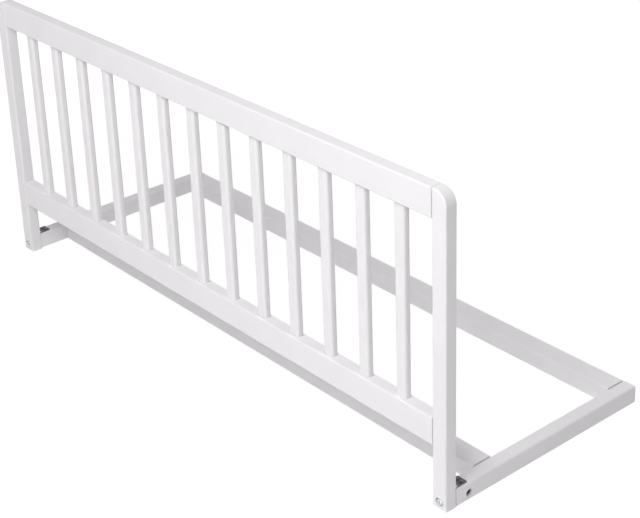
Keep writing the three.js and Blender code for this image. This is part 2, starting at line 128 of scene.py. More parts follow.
def white_lacquer(name, grain_axis):
    """Sprayed satin lacquer over planed beech, whose grain runs along one axis of the rail"""
    material, tree, shader, place = new_finish(name)
    # The wood's pores show through the paint as fine ridges, close together and long along the grain
    pore_pitch = 1.4 * mm
    pore_length = 45 * mm
    stretch = [1 / pore_pitch] * 3
    stretch[grain_axis] = 1 / pore_length
    fibres = add(tree, "ShaderNodeMapping", {"Vector": place, "Scale": stretch}).outputs[0]
    grain = add(tree, "ShaderNodeTexNoise", {"Vector": fibres, "Scale": 1, "Detail": 3, "Roughness": 0.6})
    ridges = add(tree, "ShaderNodeBump", {"Height": grain.outputs["Fac"], "Distance": 0.05 * mm})
    # The spray dries with a skin of low, wide bumps
    bump_width = 2.2 * mm
    skin = add(tree, "ShaderNodeTexNoise", {"Vector": place, "Scale": 1 / bump_width,
                                            "Detail": 2}).outputs["Fac"]
    surface = add(tree, "ShaderNodeBump", {"Height": skin, "Distance": 0.04 * mm,
                                           "Normal": ridges.outputs["Normal"]})
    satin = add(tree, "ShaderNodeMapRange", {"Value": skin, "From Min": 0.3, "From Max": 0.7,
                                             "To Min": 0.36, "To Max": 0.46})
    # Coats of slightly uneven thickness drift in tone over a hand's width
    hand_width = 90 * mm
    drift = add(tree, "ShaderNodeTexNoise", {"Vector": place, "Scale": 1 / hand_width, "Detail": 3})
    tone = add(tree, "ShaderNodeMix", {"Factor": drift.outputs["Fac"], "A": linear("eeecee"),
                                       "B": linear("f6f3f6")}, data_type="RGBA")
    wire(tree, shader, {"Base Color": tone.outputs["Result"], "Roughness": satin.outputs["Result"],
                        "Normal": surface.outputs["Normal"], "IOR": 1.5})
    return material


def work_on(piece):
    """Leaves one piece selected and active"""
    bpy.ops.object.select_all(action="DESELECT")
    piece.select_set(True)
    bpy.context.view_layer.objects.active = piece


def middle(node):
    """The middle of a CAD node's box"""
    low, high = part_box(node)
    return (low + high) / 2


def block(name, low, high):
    """A block between two corners, with its place in its mesh"""
    bpy.ops.object.select_all(action="DESELECT")
    bpy.ops.mesh.primitive_cube_add(size=1, location=(Vector(low) + Vector(high)) / 2)
    piece = bpy.context.active_object
    piece.scale = Vector(high) - Vector(low)
    bpy.ops.object.transform_apply(location=True, rotation=True, scale=True)
    piece.name = piece.data.name = name
    return piece


def spindle(name, centre, axis, start, end, radius, end_radius=None, facets=round_facets):
    """A round bar through a centre, between two levels of an axis, tapered if it has an end radius"""
    bpy.ops.object.select_all(action="DESELECT")
    first, last = centre.copy(), centre.copy()
    first[axis] = start
    last[axis] = end
    along = last - first
    far = radius if end_radius is None else end_radius
    bpy.ops.mesh.primitive_cone_add(vertices=facets, radius1=radius, radius2=far, depth=along.length,
                                    location=(first + last) / 2,
                                    rotation=along.to_track_quat("Z", "Y").to_euler())
    bpy.ops.object.transform_apply(location=True, rotation=True, scale=True)
    piece = bpy.context.active_object
    piece.name = piece.data.name = name
    return piece


def pick(piece, kind, test):
    """In edit mode, selects the edges or faces whose middle and direction pass a test"""
    bpy.ops.mesh.select_mode(type=kind)
    bpy.ops.mesh.select_all(action="DESELECT")
    mesh = bmesh.from_edit_mesh(piece.data)
    for edge in mesh.edges if kind == "EDGE" else ():
        start, end = (v.co for v in edge.verts)
        if test((start + end) / 2, (end - start).normalized()):
            edge.select_set(True)
    for face in mesh.faces if kind == "FACE" else ():
        if test(face.calc_center_median(), face.normal):
            face.select_set(True)
    bmesh.update_edit_mesh(piece.data)


def round_off(piece, radius, steps, test):
    """Rounds the edges whose middle and direction pass a test"""
    work_on(piece)
    bpy.ops.object.mode_set(mode="EDIT")
    pick(piece, "EDGE", test)
    bpy.ops.mesh.bevel(offset=radius, offset_type="OFFSET", segments=steps, profile=0.5, affect="EDGES")
    bpy.ops.object.mode_set(mode="OBJECT")


def cut(piece, *tools, how="DIFFERENCE"):
    """Cuts the shapes of the tools out of a piece, or joins them to it, and puts the tools away"""
    work_on(piece)
    for tool in tools:
        change = piece.modifiers.new("cut", "BOOLEAN")
        change.object = tool
        change.operation = how
        change.solver = "EXACT"
        bpy.ops.object.modifier_apply(modifier="cut")
        bpy.data.objects.remove(tool)


def bore(node, axis, room, reach):
    """A tool for the hole of a round CAD node along an axis, wider by the room and longer by the reach"""
    low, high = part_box(node)
    across = (axis + 1) % 3
    radius = (high[across] - low[across]) / 2 + room
    return spindle("bore", (low + high) / 2, axis, low[axis] - reach, high[axis] + reach, radius)


def dowel_bores(*joints):
    """Tools for the two dowel holes of each joint"""
    return [bore(f"{joint}_dowel_{end}", X, dowel_room, end_room) for joint in joints for end in "ab"]


def on_rim(centre, radius, axis, level):
    """A test for the edges of a hole's rim, which lies across an axis at some level"""
    def test(m, d):
        out = m - centre
        out[axis] = 0
        return abs(m[axis] - level) < near / 2 and abs(out.length - radius) < near
    return test


def assemble(piece, node, body, material):
    """Evens a piece's shading, gives it its finish and puts it in the place of its CAD node"""
    work_on(piece)
    bpy.ops.object.shade_smooth_by_angle(angle=math.radians(sharp_turn))
    evened = piece.modifiers.new("evened", "WEIGHTED_NORMAL")
    evened.keep_sharp = True
    bpy.ops.object.modifier_apply(modifier="evened")
    piece.data.materials.clear()
    piece.data.materials.append(material)
    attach(piece, body)
    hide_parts(node)


lacquer_on_uprights = white_lacquer("satin_white_lacquer_on_uprights", Z)
for name, side in sides.items():
    low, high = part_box(f"{name}_post")
    post = block(f"{name}_post_timber", low, high)
    outer = high.x if side > 0 else low.x
    round_off(post, post_corner, 20,
              lambda m, d: abs(d.y) > mostly and abs(m.x - outer) < mm and m.z > high.z - mm)
    round_off(post, post_edge, 5, lambda m, d: abs(d.y) < hardly)
    round_off(post, foot_arris, 2, lambda m, d: abs(d.y) > mostly and m.z < mm)
    bolt = middle(f"{name}_post_bolt")
    sunk = low.y + counterbore_depth
    cut(post, spindle("counterbore", bolt, Y, low.y - past, sunk, counterbore_radius))
    round_off(post, counterbore_arris, 2, on_rim(bolt, counterbore_radius, Y, low.y))
    through = spindle("through", bolt, Y, sunk - past, high.y + past, bolt_hole_radius)
    plate_low, plate_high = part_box(f"{name}_hinge_post_plate")
    collar_end = plate_low.y - 2 * let_in_room
    collar = spindle("collar", bolt, Y, collar_end, high.y + past, collar_hole_radius)
    arm_plate_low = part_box(f"{name}_hinge_arm_plate")[0]
    pocket = block("pocket",
                   (plate_low.x - let_in_room, arm_plate_low.y - let_in_room, plate_low.z - let_in_room),
                   (plate_high.x + let_in_room, high.y + past, plate_high.z + 1.5 * let_in_room))
    dowels = dowel_bores(f"{name}_top_rail", f"{name}_bottom_rail")
    pilot = bore(f"{name}_post_screw", Y, -pilot_step, end_room)
    cut(post, through, collar, pocket, pilot, *dowels)
    assemble(post, f"{name}_post", "guard_panel", lacquer_on_uprights)

# Panel rails
# Two planed beech rails between the posts, butted and dowelled, with all long edges rounded. One edge
# of each is slot-mortised for the thirteen slats. They are sprayed with the posts' white lacquer.
rail_edge = 2.5 * mm
rail_end_arris = 0.3 * mm
slat_edge = 4.5 * mm
mortise_room = 0.3 * mm
open_joint = Vector((0.35 * mm, 0, 0))
slat_names = [f"slat_{number:02d}" for number in range(1, 14)]


def rounded_bar(name, low, high, axis, radius, steps):
    """A bar whose four long edges, along one axis, are rounded"""
    piece = block(name, low, high)
    round_off(piece, radius, steps, lambda m, d: abs(d[axis]) > mostly)
    return piece


def eased_rail(node, joint, edge):
    """A rail along X with rounded long edges and eased ends, short of its neighbours by an open joint"""
    low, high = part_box(node)
    low, high = low + joint, high - joint
    rail = rounded_bar(f"{node}_timber", low, high, X, edge, 6)
    round_off(rail, rail_end_arris, 1, lambda m, d: abs(d.x) < mostly and abs(m.x) > high.x - mm)
    return rail


lacquer_on_rails = white_lacquer("satin_white_lacquer_on_rails", X)
room = Vector((mortise_room, mortise_room, end_room))
mortise_edge = slat_edge + mortise_room
for name in ("top_rail", "bottom_rail"):
    rail = eased_rail(name, open_joint, rail_edge)
    for slat in slat_names:
        slat_low, slat_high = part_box(slat)
        cut(rail, rounded_bar("mortise", slat_low - room, slat_high + room, Z, mortise_edge, 6))
    cut(rail, *dowel_bores(f"left_{name}", f"right_{name}"))
    assemble(rail, name, "guard_panel", lacquer_on_rails)

# Slats
# Thirteen thin beech uprights with full rounded edges, run through a moulder as one long strip, cut to
# length and glued into the mortises of both rails. One is shaped and the other twelve are its copies.
slat_end_arris = 0.5 * mm
slat_low, slat_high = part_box("slat_01")
pattern = rounded_bar("slat_01_timber", slat_low, slat_high, Z, slat_edge, 8)
round_off(pattern, slat_end_arris, 1, lambda m, d: abs(d.z) < hardly)
for name in slat_names[1:]:
    slat = bpy.data.objects.new(f"{name}_timber", pattern.data.copy())
    slat.data.name = slat.name
    bpy.context.scene.collection.objects.link(slat)
    slat.data.transform(Matrix.Translation(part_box(name)[0] - slat_low))
for name in slat_names:
    slat = bpy.data.objects[f"{name}_timber"]
    assemble(slat, name, "guard_panel", lacquer_on_uprights)

# Dowels
# Fluted 8 mm beech pins with chamfered ends, glued into both pieces at each joint. The flutes let the
# spare glue out. Eight join the panel's rails to its posts and eight the base rails to the arms.
flutes = 16
flute_depth = 0.25 * mm
dowel_chamfer = 1 * mm


def beech():
    """Bare turned beech, pale tan with short darker flecks along the grain"""
    material, tree, shader, place = new_finish("bare_turned_beech")
    # Flecks are the cut ends of the rays, short lines along the grain
    fleck_length = 3 * mm
    fleck_width = 0.5 * mm
    stretch = (1 / fleck_length, 1 / fleck_width, 1 / fleck_width)
    flecks = add(tree, "ShaderNodeMapping", {"Vector": place, "Scale": stretch}).outputs[0]
    fleck = add(tree, "ShaderNodeTexNoise", {"Vector": flecks, "Scale": 1, "Detail": 2}).outputs["Fac"]
    # The growth rings show as bands, several millimetres wide
    band_width = 6 * mm
    bands = add(tree, "ShaderNodeTexNoise", {"Vector": place, "Scale": 1 / band_width, "Detail": 3})
    warm = add(tree, "ShaderNodeMix", {"Factor": bands.outputs["Fac"], "A": linear("d3b384"),
                                       "B": linear("e0c79e")}, data_type="RGBA")
    dark = add(tree, "ShaderNodeMapRange", {"Value": fleck, "From Min": 0.55, "From Max": 0.75})
    colour = add(tree, "ShaderNodeMix", {"Factor": dark.outputs["Result"], "A": warm.outputs["Result"],
                                         "B": linear("b08a5c")}, data_type="RGBA")
    bump = add(tree, "ShaderNodeBump", {"Height": fleck, "Distance": 0.04 * mm})
    wire(tree, shader, {"Base Color": colour.outputs["Result"], "Normal": bump.outputs["Normal"],
                        "Roughness": 0.68})
    return material


def groove(piece, centre, axis, count, depth, radius):
    """In edit mode, presses a count of straight grooves, evenly spread, into the side of a round bar"""
    across, up = [i for i in (X, Y, Z) if i != axis]

    def in_groove(m, d):
        out = m - centre
        turn = math.degrees(math.atan2(out[up], out[across])) * count / 360
        return abs(d[axis]) > mostly and abs(turn - round(turn)) < hardly

    pick(piece, "EDGE", in_groove)
    size = [1 - depth / radius] * 3
    size[axis] = 1
    bpy.ops.transform.resize(value=size, center_override=centre)


def fluted_dowel(name, low, high):
    """A dowel along X between two corners, with flutes and chamfered ends"""
    centre = (low + high) / 2
    radius = (high.z - low.z) / 2
    piece = spindle(name, centre, X, low.x, high.x, radius, facets=3 * flutes)
    work_on(piece)
    bpy.ops.object.mode_set(mode="EDIT")
    groove(piece, centre, X, flutes, flute_depth, radius)
    pick(piece, "FACE", lambda m, d: abs(d.x) > mostly)
    bpy.ops.mesh.inset(thickness=dowel_chamfer)
    bpy.ops.mesh.select_all(action="DESELECT")
    bpy.ops.object.mode_set(mode="OBJECT")
    return piece


bare_beech = beech()
dowel_sets = {"top_rail": "guard_panel", "bottom_rail": "guard_panel", "front_base": "base_frame",
              "rear_base": "base_frame"}
for joint, body in dowel_sets.items():
    for side in sides:
        for end in "ab":
            node = f"{side}_{joint}_dowel_{end}"
            dowel = fluted_dowel(f"{node}_turned", *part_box(node))
            assemble(dowel, node, body, bare_beech)

# Arms
# Two beech bars that run in under the mattress from the posts, rounded along all long edges. Each is
# drilled through its end for the bolt, across it for the cross dowel, and inside for the base rails.
arm_edge = 2.5 * mm
arm_end_arris = 0.6 * mm
cross_hole_radius = 5.15 * mm
cross_hole_arris = 0.25 * mm
# The bolt's hole goes on this far behind the cross dowel
bolt_tip_room = 4.5 * mm
# The plate is let this far into the end grain
leaf_recess = 1.7 * mm
# A cone in the end grain takes the bolt's head: it starts before the arm's end and narrows inwards
seat_lead = 0.4 * mm
seat_depth = 2.8 * mm
seat_radius = 5.55 * mm
seat_end_radius = 2.99 * mm
lacquer_on_arms = white_lacquer("satin_white_lacquer_on_arms", Y)
for name, side in sides.items():
    low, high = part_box(f"{name}_arm")
    arm = rounded_bar(f"{name}_arm_timber", low, high, Y, arm_edge, 6)
    round_off(arm, arm_end_arris, 2,
              lambda m, d: abs(d.y) < hardly and (m.y < low.y + mm or m.y > high.y - mm))
    cross_low, cross_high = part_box(f"{name}_cross_dowel")
    cross = (cross_low + cross_high) / 2
    outer = high.x if side > 0 else low.x
    inner = cross_low.x if side > 0 else cross_high.x
    socket = spindle("socket", cross, X, inner - side * end_room, outer + side * past, cross_hole_radius)
    cut(arm, socket)
    round_off(arm, cross_hole_arris, 2, on_rim(cross, cross_hole_radius, X, outer))
    shank = spindle("shank", cross, Y, low.y - past, cross_high.y + bolt_tip_room, bolt_hole_radius)
    # The seat has two facets more than the bore that it opens into, so that no two of them coincide
    seat = spindle("seat", cross, Y, low.y - seat_lead, low.y + seat_depth, seat_radius, seat_end_radius,
                   round_facets + 2)
    plate_low, plate_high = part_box(f"{name}_hinge_arm_plate")
    pocket = block("pocket", (plate_low.x - let_in_room, low.y - past, plate_low.z - let_in_room),
                   (plate_high.x + let_in_room, low.y + leaf_recess, high.z + past))
    pilots = [bore(f"{name}_plate_screw_{number}", Z, -pilot_step, end_room) for number in (1, 2)]
    dowels = dowel_bores(f"{name}_front_base", f"{name}_rear_base")
    cut(arm, shank, seat, pocket, *pilots, *dowels)
    assemble(arm, f"{name}_arm", "base_frame", lacquer_on_arms)

# Base rails
# Two flat beech rails that hold the arms apart and lie under the mattress, rounded along all long
# edges and dowelled at both ends. Each joint stays open by about a millimetre, as a dark line.
open_base_joint = Vector((1.1 * mm, 0, 0))
for name in ("front", "rear"):
    rail = eased_rail(f"{name}_base_rail", open_base_joint, arm_edge)
    cut(rail, *dowel_bores(f"left_{name}_base", f"right_{name}_base"))
    assemble(rail, f"{name}_base_rail", "base_frame", lacquer_on_rails)

# Hinge post plates
# A leaf of 1.5 mm pressed steel let in flush in the back of each post's foot. Its two outer tabs are
# rolled round the pin, and a threaded collar for the post bolt is pressed into it. Dark zinc plated.
sheet = 1.5 * mm
knuckle_gap = 0.3 * mm
outer_curl = 318
curl_steps = 28
broken_edge = 0.15 * mm
# Tumbling breaks the edges that turn by more degrees than this
broken_turn = 50
collar_radius = 4.5 * mm
collar_edge = 0.3 * mm
thread_radius = 3.12 * mm
sink_depth = 1.4 * mm
sink_radius = 3.1 * mm
screw_hole_radius = 1.65 * mm
# Two shapes that are joined run into each other by this
lap = 0.2 * mm


def dark_zinc():
    """Pressed steel plated with dark zinc: deep grey, satin, drawn in fine lines, its edges rubbed bright
    by wear and also painted bright as a highlight
    """
    material, tree, shader, place = new_finish("dark_zinc_plated_steel")
    # The plating clouds over a few millimetres
    cloud_width = 4 * mm
    clouds = add(tree, "ShaderNodeTexNoise", {"Vector": place, "Scale": 1 / cloud_width,
                                              "Detail": 4}).outputs["Fac"]
    tone = add(tree, "ShaderNodeMix", {"Factor": clouds, "A": linear("333437"), "B": linear("68696d")},
               data_type="RGBA").outputs["Result"]
    satin = add(tree, "ShaderNodeMapRange", {"Value": clouds, "From Min": 0.3, "From Max": 0.7,
                                             "To Min": 0.28, "To Max": 0.45})
    # The die draws fine lines along X
    line_length = 8 * mm
    line_pitch = 0.25 * mm
    stretch = (1 / line_length, 1 / line_pitch, 1 / line_pitch)
    lines = add(tree, "ShaderNodeMapping", {"Vector": place, "Scale": stretch}).outputs[0]
    drawn = add(tree, "ShaderNodeTexNoise", {"Vector": lines, "Scale": 1, "Detail": 2})
    bump = add(tree, "ShaderNodeBump", {"Height": drawn.outputs["Fac"], "Distance": 0.02 * mm})
    # Wear has rubbed the edges bright over a narrow strip, and the same strip is a painted highlight that
    # stands in for the glints of the edges: there a rounded normal leaves the true one
    wear_and_glint_width = 0.5 * mm
    eased = add(tree, "ShaderNodeBevel", {"Radius": wear_and_glint_width}, samples=6).outputs["Normal"]
    true = add(tree, "ShaderNodeNewGeometry").outputs["Normal"]
    turned = add(tree, "ShaderNodeVectorMath", {0: eased, 1: true}, operation="DOT_PRODUCT")
    wear_and_glint_mask = add(tree, "ShaderNodeMapRange", {"Value": turned.outputs["Value"], "From Min": 0.99,
                                              "From Max": 0.88, "To Min": 0, "To Max": 0.85})
    # The pale zinc mixed in at the edges is partly rubbed wear and partly painted highlight
    wear_and_glint_colour = add(tree, "ShaderNodeMix", {"Factor": wear_and_glint_mask.outputs["Result"], "A": tone,
                                       "B": linear("d3d4d6")}, data_type="RGBA")
    wire(tree, shader, {"Base Color": wear_and_glint_colour.outputs["Result"], "Roughness": satin.outputs["Result"],
                        "Normal": bump.outputs["Normal"], "Metallic": 1})
    return material


def roll(piece, test, centre, turn, lift=0):
    """Lifts the faces that pass a test, then rolls them by some degrees round a line along X"""
    work_on(piece)
    bpy.ops.object.mode_set(mode="EDIT")
    pick(piece, "FACE", test)
    if lift:
        bpy.ops.mesh.extrude_region_move(TRANSFORM_OT_translate={"value": (0, 0, lift)})
    bpy.ops.mesh.spin(steps=curl_steps, angle=math.radians(turn), center=centre, axis=(1, 0, 0))
    bpy.ops.mesh.select_all(action="SELECT")
    bpy.ops.mesh.remove_doubles(threshold=near / 10)
    bpy.ops.mesh.normals_make_consistent(inside=False)
    bpy.ops.object.mode_set(mode="OBJECT")


def split(piece, *places):
    """Divides a piece's faces across X at some places"""
    work_on(piece)
    bpy.ops.object.mode_set(mode="EDIT")
    for place in places:
        bpy.ops.mesh.select_all(action="SELECT")
        bpy.ops.mesh.bisect(plane_co=(place, 0, 0), plane_no=(1, 0, 0))
    bpy.ops.object.mode_set(mode="OBJECT")


def break_edges(piece, width):
    """Breaks the sharp edges of a metal piece, as tumbling does"""
    work_on(piece)
    broken = piece.modifiers.new("broken", "BEVEL")
    broken.width = width
    broken.segments = 2
    broken.limit_method = "ANGLE"
    broken.angle_limit = math.radians(broken_turn)
    bpy.ops.object.modifier_apply(modifier="broken")


plated_steel = dark_zinc()
for name in sides:
    low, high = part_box(f"{name}_hinge_post_plate")
    axis = middle(f"{name}_hinge_pin")
    knuckle = high.z - axis.z
    # Half the width that the two outer tabs leave free between them
    free = (high.x - low.x - 2 * knuckle_gap) / 6 + knuckle_gap
    front = axis.y - knuckle
    back = front + sheet
    ledge = axis.z - knuckle - knuckle_gap
    plate = block(f"{name}_hinge_post_plate_pressed", (low.x, front, low.z), (high.x, back, ledge))
    split(plate, axis.x - free, axis.x + free)
    roll(plate, lambda m, d: d.z > mostly and abs(m.x - axis.x) > free, axis, outer_curl, axis.z - ledge)
    break_edges(plate, broken_edge)
    bolt = middle(f"{name}_post_bolt")
    collar = spindle("collar", bolt, Y, low.y, front + sheet / 2, collar_radius)
    break_edges(collar, collar_edge)
    cut(plate, collar, how="UNION")
    thread = spindle("thread", bolt, Y, low.y - past, back + sheet, thread_radius)
    screw = middle(f"{name}_post_screw")
    sink = spindle("sink", screw, Y, back + lap, back - sink_depth, sink_radius, screw_hole_radius)
    pass_hole = spindle("pass_hole", screw, Y, back - sink_depth + near, front - past, screw_hole_radius)
    cut(plate, thread, sink, pass_hole)
    assemble(plate, f"{name}_hinge_post_plate", "guard_panel", plated_steel)

# Hinge arm plates
# An angle of the same pressed steel over the front end of each arm. Its upright leaf is let into the
# end grain under the bolt's head, its top leaf is screwed down, and its middle tab is rolled round
# the pin between the two knuckles of the post plate.
leaf_corner = 2 * mm
bend_radius = 1.3 * mm
middle_curl = 300
# The flat part of the tab runs this far back from the pin, into the leaf
tab_run = 2 * mm
screw_head_height = 1.4 * mm
# A screw's hole in the plate is this much smaller in radius than its head
screw_hole_step = 1.15 * mm
dent_lead = 0.3 * mm
dent_depth = 2.6 * mm
dent_radius = 5.4 * mm
for name in sides:
    low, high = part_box(f"{name}_hinge_arm_plate")
    axis = middle(f"{name}_hinge_pin")
    knuckle = high.z - axis.z
    # Half the width of the middle tab
    tab_half = (high.x - low.x - 2 * knuckle_gap) / 6
    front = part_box(f"{name}_arm")[0].y
    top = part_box(f"{name}_plate_screw_1")[1].z - screw_head_height
    plate = block(f"{name}_hinge_arm_plate_pressed", (low.x, front + sheet, top - sheet),
                  (high.x, high.y, top))
    work_on(plate)
    bpy.ops.object.mode_set(mode="EDIT")
    pick(plate, "FACE", lambda m, d: d.y < -mostly)
    bpy.ops.mesh.extrude_region_move(TRANSFORM_OT_translate={"value": (0, -sheet, 0)})
    pick(plate, "FACE", lambda m, d: d.z < -mostly and m.y < front + sheet)
    bpy.ops.mesh.extrude_region_move(TRANSFORM_OT_translate={"value": (0, 0, low.z - top + sheet)})
    bpy.ops.object.mode_set(mode="OBJECT")
    round_off(plate, bend_radius, 5,
              lambda m, d: abs(d.x) > mostly and m.y < front + near and m.z > top - near)
    round_off(plate, leaf_corner, 6, lambda m, d: abs(d.z) > mostly and m.y > high.y - near)
    break_edges(plate, broken_edge)
    notch_room = knuckle_gap + knuckle
    for end in (-1, 1):
        inner = axis.x + end * (tab_half + knuckle_gap / 2)
        outer = axis.x + end * (3 * tab_half + 2 * knuckle_gap + past)
        notch = block("notch", (min(inner, outer), front - past, axis.z - notch_room),
                      (max(inner, outer), axis.y + notch_room, top + past))
        cut(plate, notch)
    under = axis.z - knuckle
    tab = block("tab", (axis.x - tab_half, axis.y, under),
                (axis.x + tab_half, axis.y + tab_run, under + sheet))
    roll(tab, lambda m, d: d.y < -mostly, axis, middle_curl)
    break_edges(tab, broken_edge)
    cut(plate, tab, how="UNION")
    # The leaf is dented into the end grain, in a cone for the head of the arm bolt
    bolt = middle(f"{name}_arm_bolt")
    dent = spindle("dent", bolt, Y, front - dent_lead, front + dent_depth, dent_radius, bolt_hole_radius)
    pilots = [bore(f"{name}_plate_screw_{number}", Z, -screw_hole_step, 2 * past) for number in (1, 2)]
    cut(plate, dent, *pilots)
    assemble(plate, f"{name}_hinge_arm_plate", "base_frame", plated_steel)

# Hinge pins
# A short bright zinc plated steel pin through the three knuckles of each hinge, with chamfered ends.
# The middle knuckle is pinched round it, so that it can't work out.
pin_radius = 1.45 * mm
pin_chamfer = 0.3 * mm


def bright_zinc():
    """Bright zinc plating on small steel parts: cool light grey with faint clouds and fine scuffs"""
    material, tree, shader, place = new_finish("bright_zinc_plated_steel")
    # The passivation clouds over a small part of each piece
    cloud_width = 2 * mm
    clouds = add(tree, "ShaderNodeTexNoise", {"Vector": place, "Scale": 1 / cloud_width, "Detail": 3})
    tone = add(tree, "ShaderNodeMix", {"Factor": clouds.outputs["Fac"], "A": linear("c4c7ca"),
                                       "B": linear("dcdddc")}, data_type="RGBA")
    # Plating in a barrel leaves fine scuffs
    scuff_pitch = 0.3 * mm
    scuffs = add(tree, "ShaderNodeTexNoise", {"Vector": place, "Scale": 1 / scuff_pitch,
                                              "Detail": 3}).outputs["Fac"]
    gloss = add(tree, "ShaderNodeMapRange", {"Value": scuffs, "From Min": 0.3, "From Max": 0.7,
                                             "To Min": 0.2, "To Max": 0.38})
    bump = add(tree, "ShaderNodeBump", {"Height": scuffs, "Distance": 0.01 * mm})
    wire(tree, shader, {"Base Color": tone.outputs["Result"], "Roughness": gloss.outputs["Result"],
                        "Normal": bump.outputs["Normal"], "Metallic": 1})
    return material


zinc_plate = bright_zinc()
for name in sides:
    low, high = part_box(f"{name}_hinge_pin")
    pin = spindle(f"{name}_hinge_pin_turned", (low + high) / 2, X, low.x, high.x, pin_radius)
    round_off(pin, pin_chamfer, 2, lambda m, d: abs(d.x) < hardly)
    assemble(pin, f"{name}_hinge_pin", "base_frame", zinc_plate)

# Post bolts
# Socket cap bolts of 6 mm, sunk in the front of each post and screwed through it into the collar of
# the hinge plate. Forged and rolled steel, with a knurl round the head, bright zinc plated.
cap_radius = 4.75 * mm
cap_height = 3.5 * mm
cap_rim = 1 * mm
cap_round = 0.6 * mm
knurl_ridges = 32
knurl_depth = 0.3 * mm
# The knurl stands this much inside the rim
knurl_step = 0.05 * mm
shank_radius = 3 * mm
shank_chamfer = 0.6 * mm
hex_depth = 2.2 * mm
hex_radius = 2.3 * mm


def knurled_barrel(centre, start, end, radius):
    """A bar along Y between two levels with straight ridges all round, for a bolt's head"""
    piece = spindle("barrel", centre, Y, start, end, radius, facets=2 * knurl_ridges)
    work_on(piece)
    bpy.ops.object.mode_set(mode="EDIT")
    groove(piece, centre, Y, knurl_ridges, knurl_depth, radius)
    bpy.ops.mesh.select_all(action="DESELECT")
    bpy.ops.object.mode_set(mode="OBJECT")
    return piece


def finish_bolt(bolt, low, high, start, radius):
    """Gives a bolt's head its shank from a start level, with a chamfered tip, and cuts the hex socket"""
    centre = (low + high) / 2
    shank = spindle("shank", centre, Y, start, high.y, radius)
    round_off(shank, shank_chamfer, 1, lambda m, d: abs(d.y) < hardly and m.y > high.y - near)
    cut(bolt, shank, how="UNION")
    cut(bolt, spindle("socket", centre, Y, low.y - past, low.y + hex_depth, hex_radius, facets=6))


for name in sides:
    low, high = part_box(f"{name}_post_bolt")
    centre = (low + high) / 2
    rim_end = low.y + cap_rim
    head_end = low.y + cap_height
    bolt = spindle(f"{name}_post_bolt_forged", centre, Y, low.y, rim_end, cap_radius)
    round_off(bolt, cap_round, 3, lambda m, d: abs(d.y) < hardly and m.y < low.y + near)
    cut(bolt, knurled_barrel(centre, rim_end - lap, head_end, cap_radius - knurl_step), how="UNION")
    finish_bolt(bolt, low, high, head_end - lap, shank_radius)
    assemble(bolt, f"{name}_post_bolt", "guard_panel", zinc_plate)

# Arm bolts
# Countersunk bolts of 6 mm that clamp each arm plate to its arm: the head sits in the plate's cone
# and the shank runs down the arm into the cross dowel. Bright zinc plated steel.
cone_height = 2.6 * mm
cone_arris = 0.15 * mm
# The shank starts inside the head's cone and is a little thinner than its end
shank_start = 0.8 * mm
thin_shank_radius = 2.98 * mm
for name in sides:
    low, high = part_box(f"{name}_arm_bolt")
    bolt = spindle(f"{name}_arm_bolt_forged", (low + high) / 2, Y, low.y, low.y + cone_height,
                   (high.x - low.x) / 2, shank_radius)
    round_off(bolt, cone_arris, 2, lambda m, d: abs(d.y) < hardly and m.y < low.y + near)
    finish_bolt(bolt, low, high, low.y + shank_start, thin_shank_radius)
    assemble(bolt, f"{name}_arm_bolt", "base_frame", zinc_plate)

# Cross dowels
# Steel barrels of 10 mm pushed in from the outside of each arm, with a threaded cross hole for the
# arm bolt and a slot in the outer end to turn them by. Dark zinc plated, like the hinges.
barrel_round = 0.5 * mm
slot_depth = 1.2 * mm
slot_half = 0.6 * mm
for name, side in sides.items():
    low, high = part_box(f"{name}_cross_dowel")
    centre = (low + high) / 2
    barrel = spindle(f"{name}_cross_dowel_turned", centre, X, low.x, high.x, (high.z - low.z) / 2)
    round_off(barrel, barrel_round, 3, lambda m, d: abs(d.x) < hardly)
    outer = high.x if side > 0 else low.x
    slot = block("slot", (outer - slot_depth, centre.y - slot_half, low.z - past),
                 (outer + slot_depth, centre.y + slot_half, high.z + past))
    thread = spindle("thread", centre, Y, low.y - past, high.y + past, thread_radius)
    cut(barrel, slot, thread)
    assemble(barrel, f"{name}_cross_dowel", "base_frame", plated_steel)

# Screws
# Two small pan-head wood screws, dark like the hinge, hold each arm plate down. A countersunk one,
# bright zinc plated, holds each post plate. All have a cross recess.
screw_radius = 1.5 * mm
screw_facets = 32
pan_round = 0.9 * mm
# How far the shank starts inside a pan head, and below the face of a countersunk one
pan_lap = 0.3 * mm
sunk_start = 0.7 * mm
point_length = 2 * mm
point_radius = 0.2 * mm
# A shape that is joined to another is this much thinner, so that their faces don't coincide
hair = 0.01 * mm
recess_depth = 0.9 * mm
recess_lead = 0.5 * mm
recess_reach = 1.5 * mm
recess_half = 0.4 * mm


def finish_screw(screw, low, high, axis, start, radius):
    """Gives a screw's head its smooth shank and point, down an axis, and cuts the cross recess"""
    centre = (low + high) / 2
    neck = low[axis] + point_length
    shank = spindle("shank", centre, axis, start, neck, radius, facets=screw_facets)
    point = spindle("point", centre, axis, neck + near, low[axis], radius - hair, point_radius,
                    screw_facets)
    cut(screw, shank, point, how="UNION")
    across = [i for i in (X, Y, Z) if i != axis]
    for wide, thin in (across, across[::-1]):
        blade_low, blade_high = centre.copy(), centre.copy()
        blade_low[axis] = high[axis] - recess_depth
        blade_high[axis] = high[axis] + recess_lead
        for way, reach in ((wide, recess_reach), (thin, recess_half)):
            blade_low[way] -= reach
            blade_high[way] += reach
        cut(screw, block("blade", blade_low, blade_high))


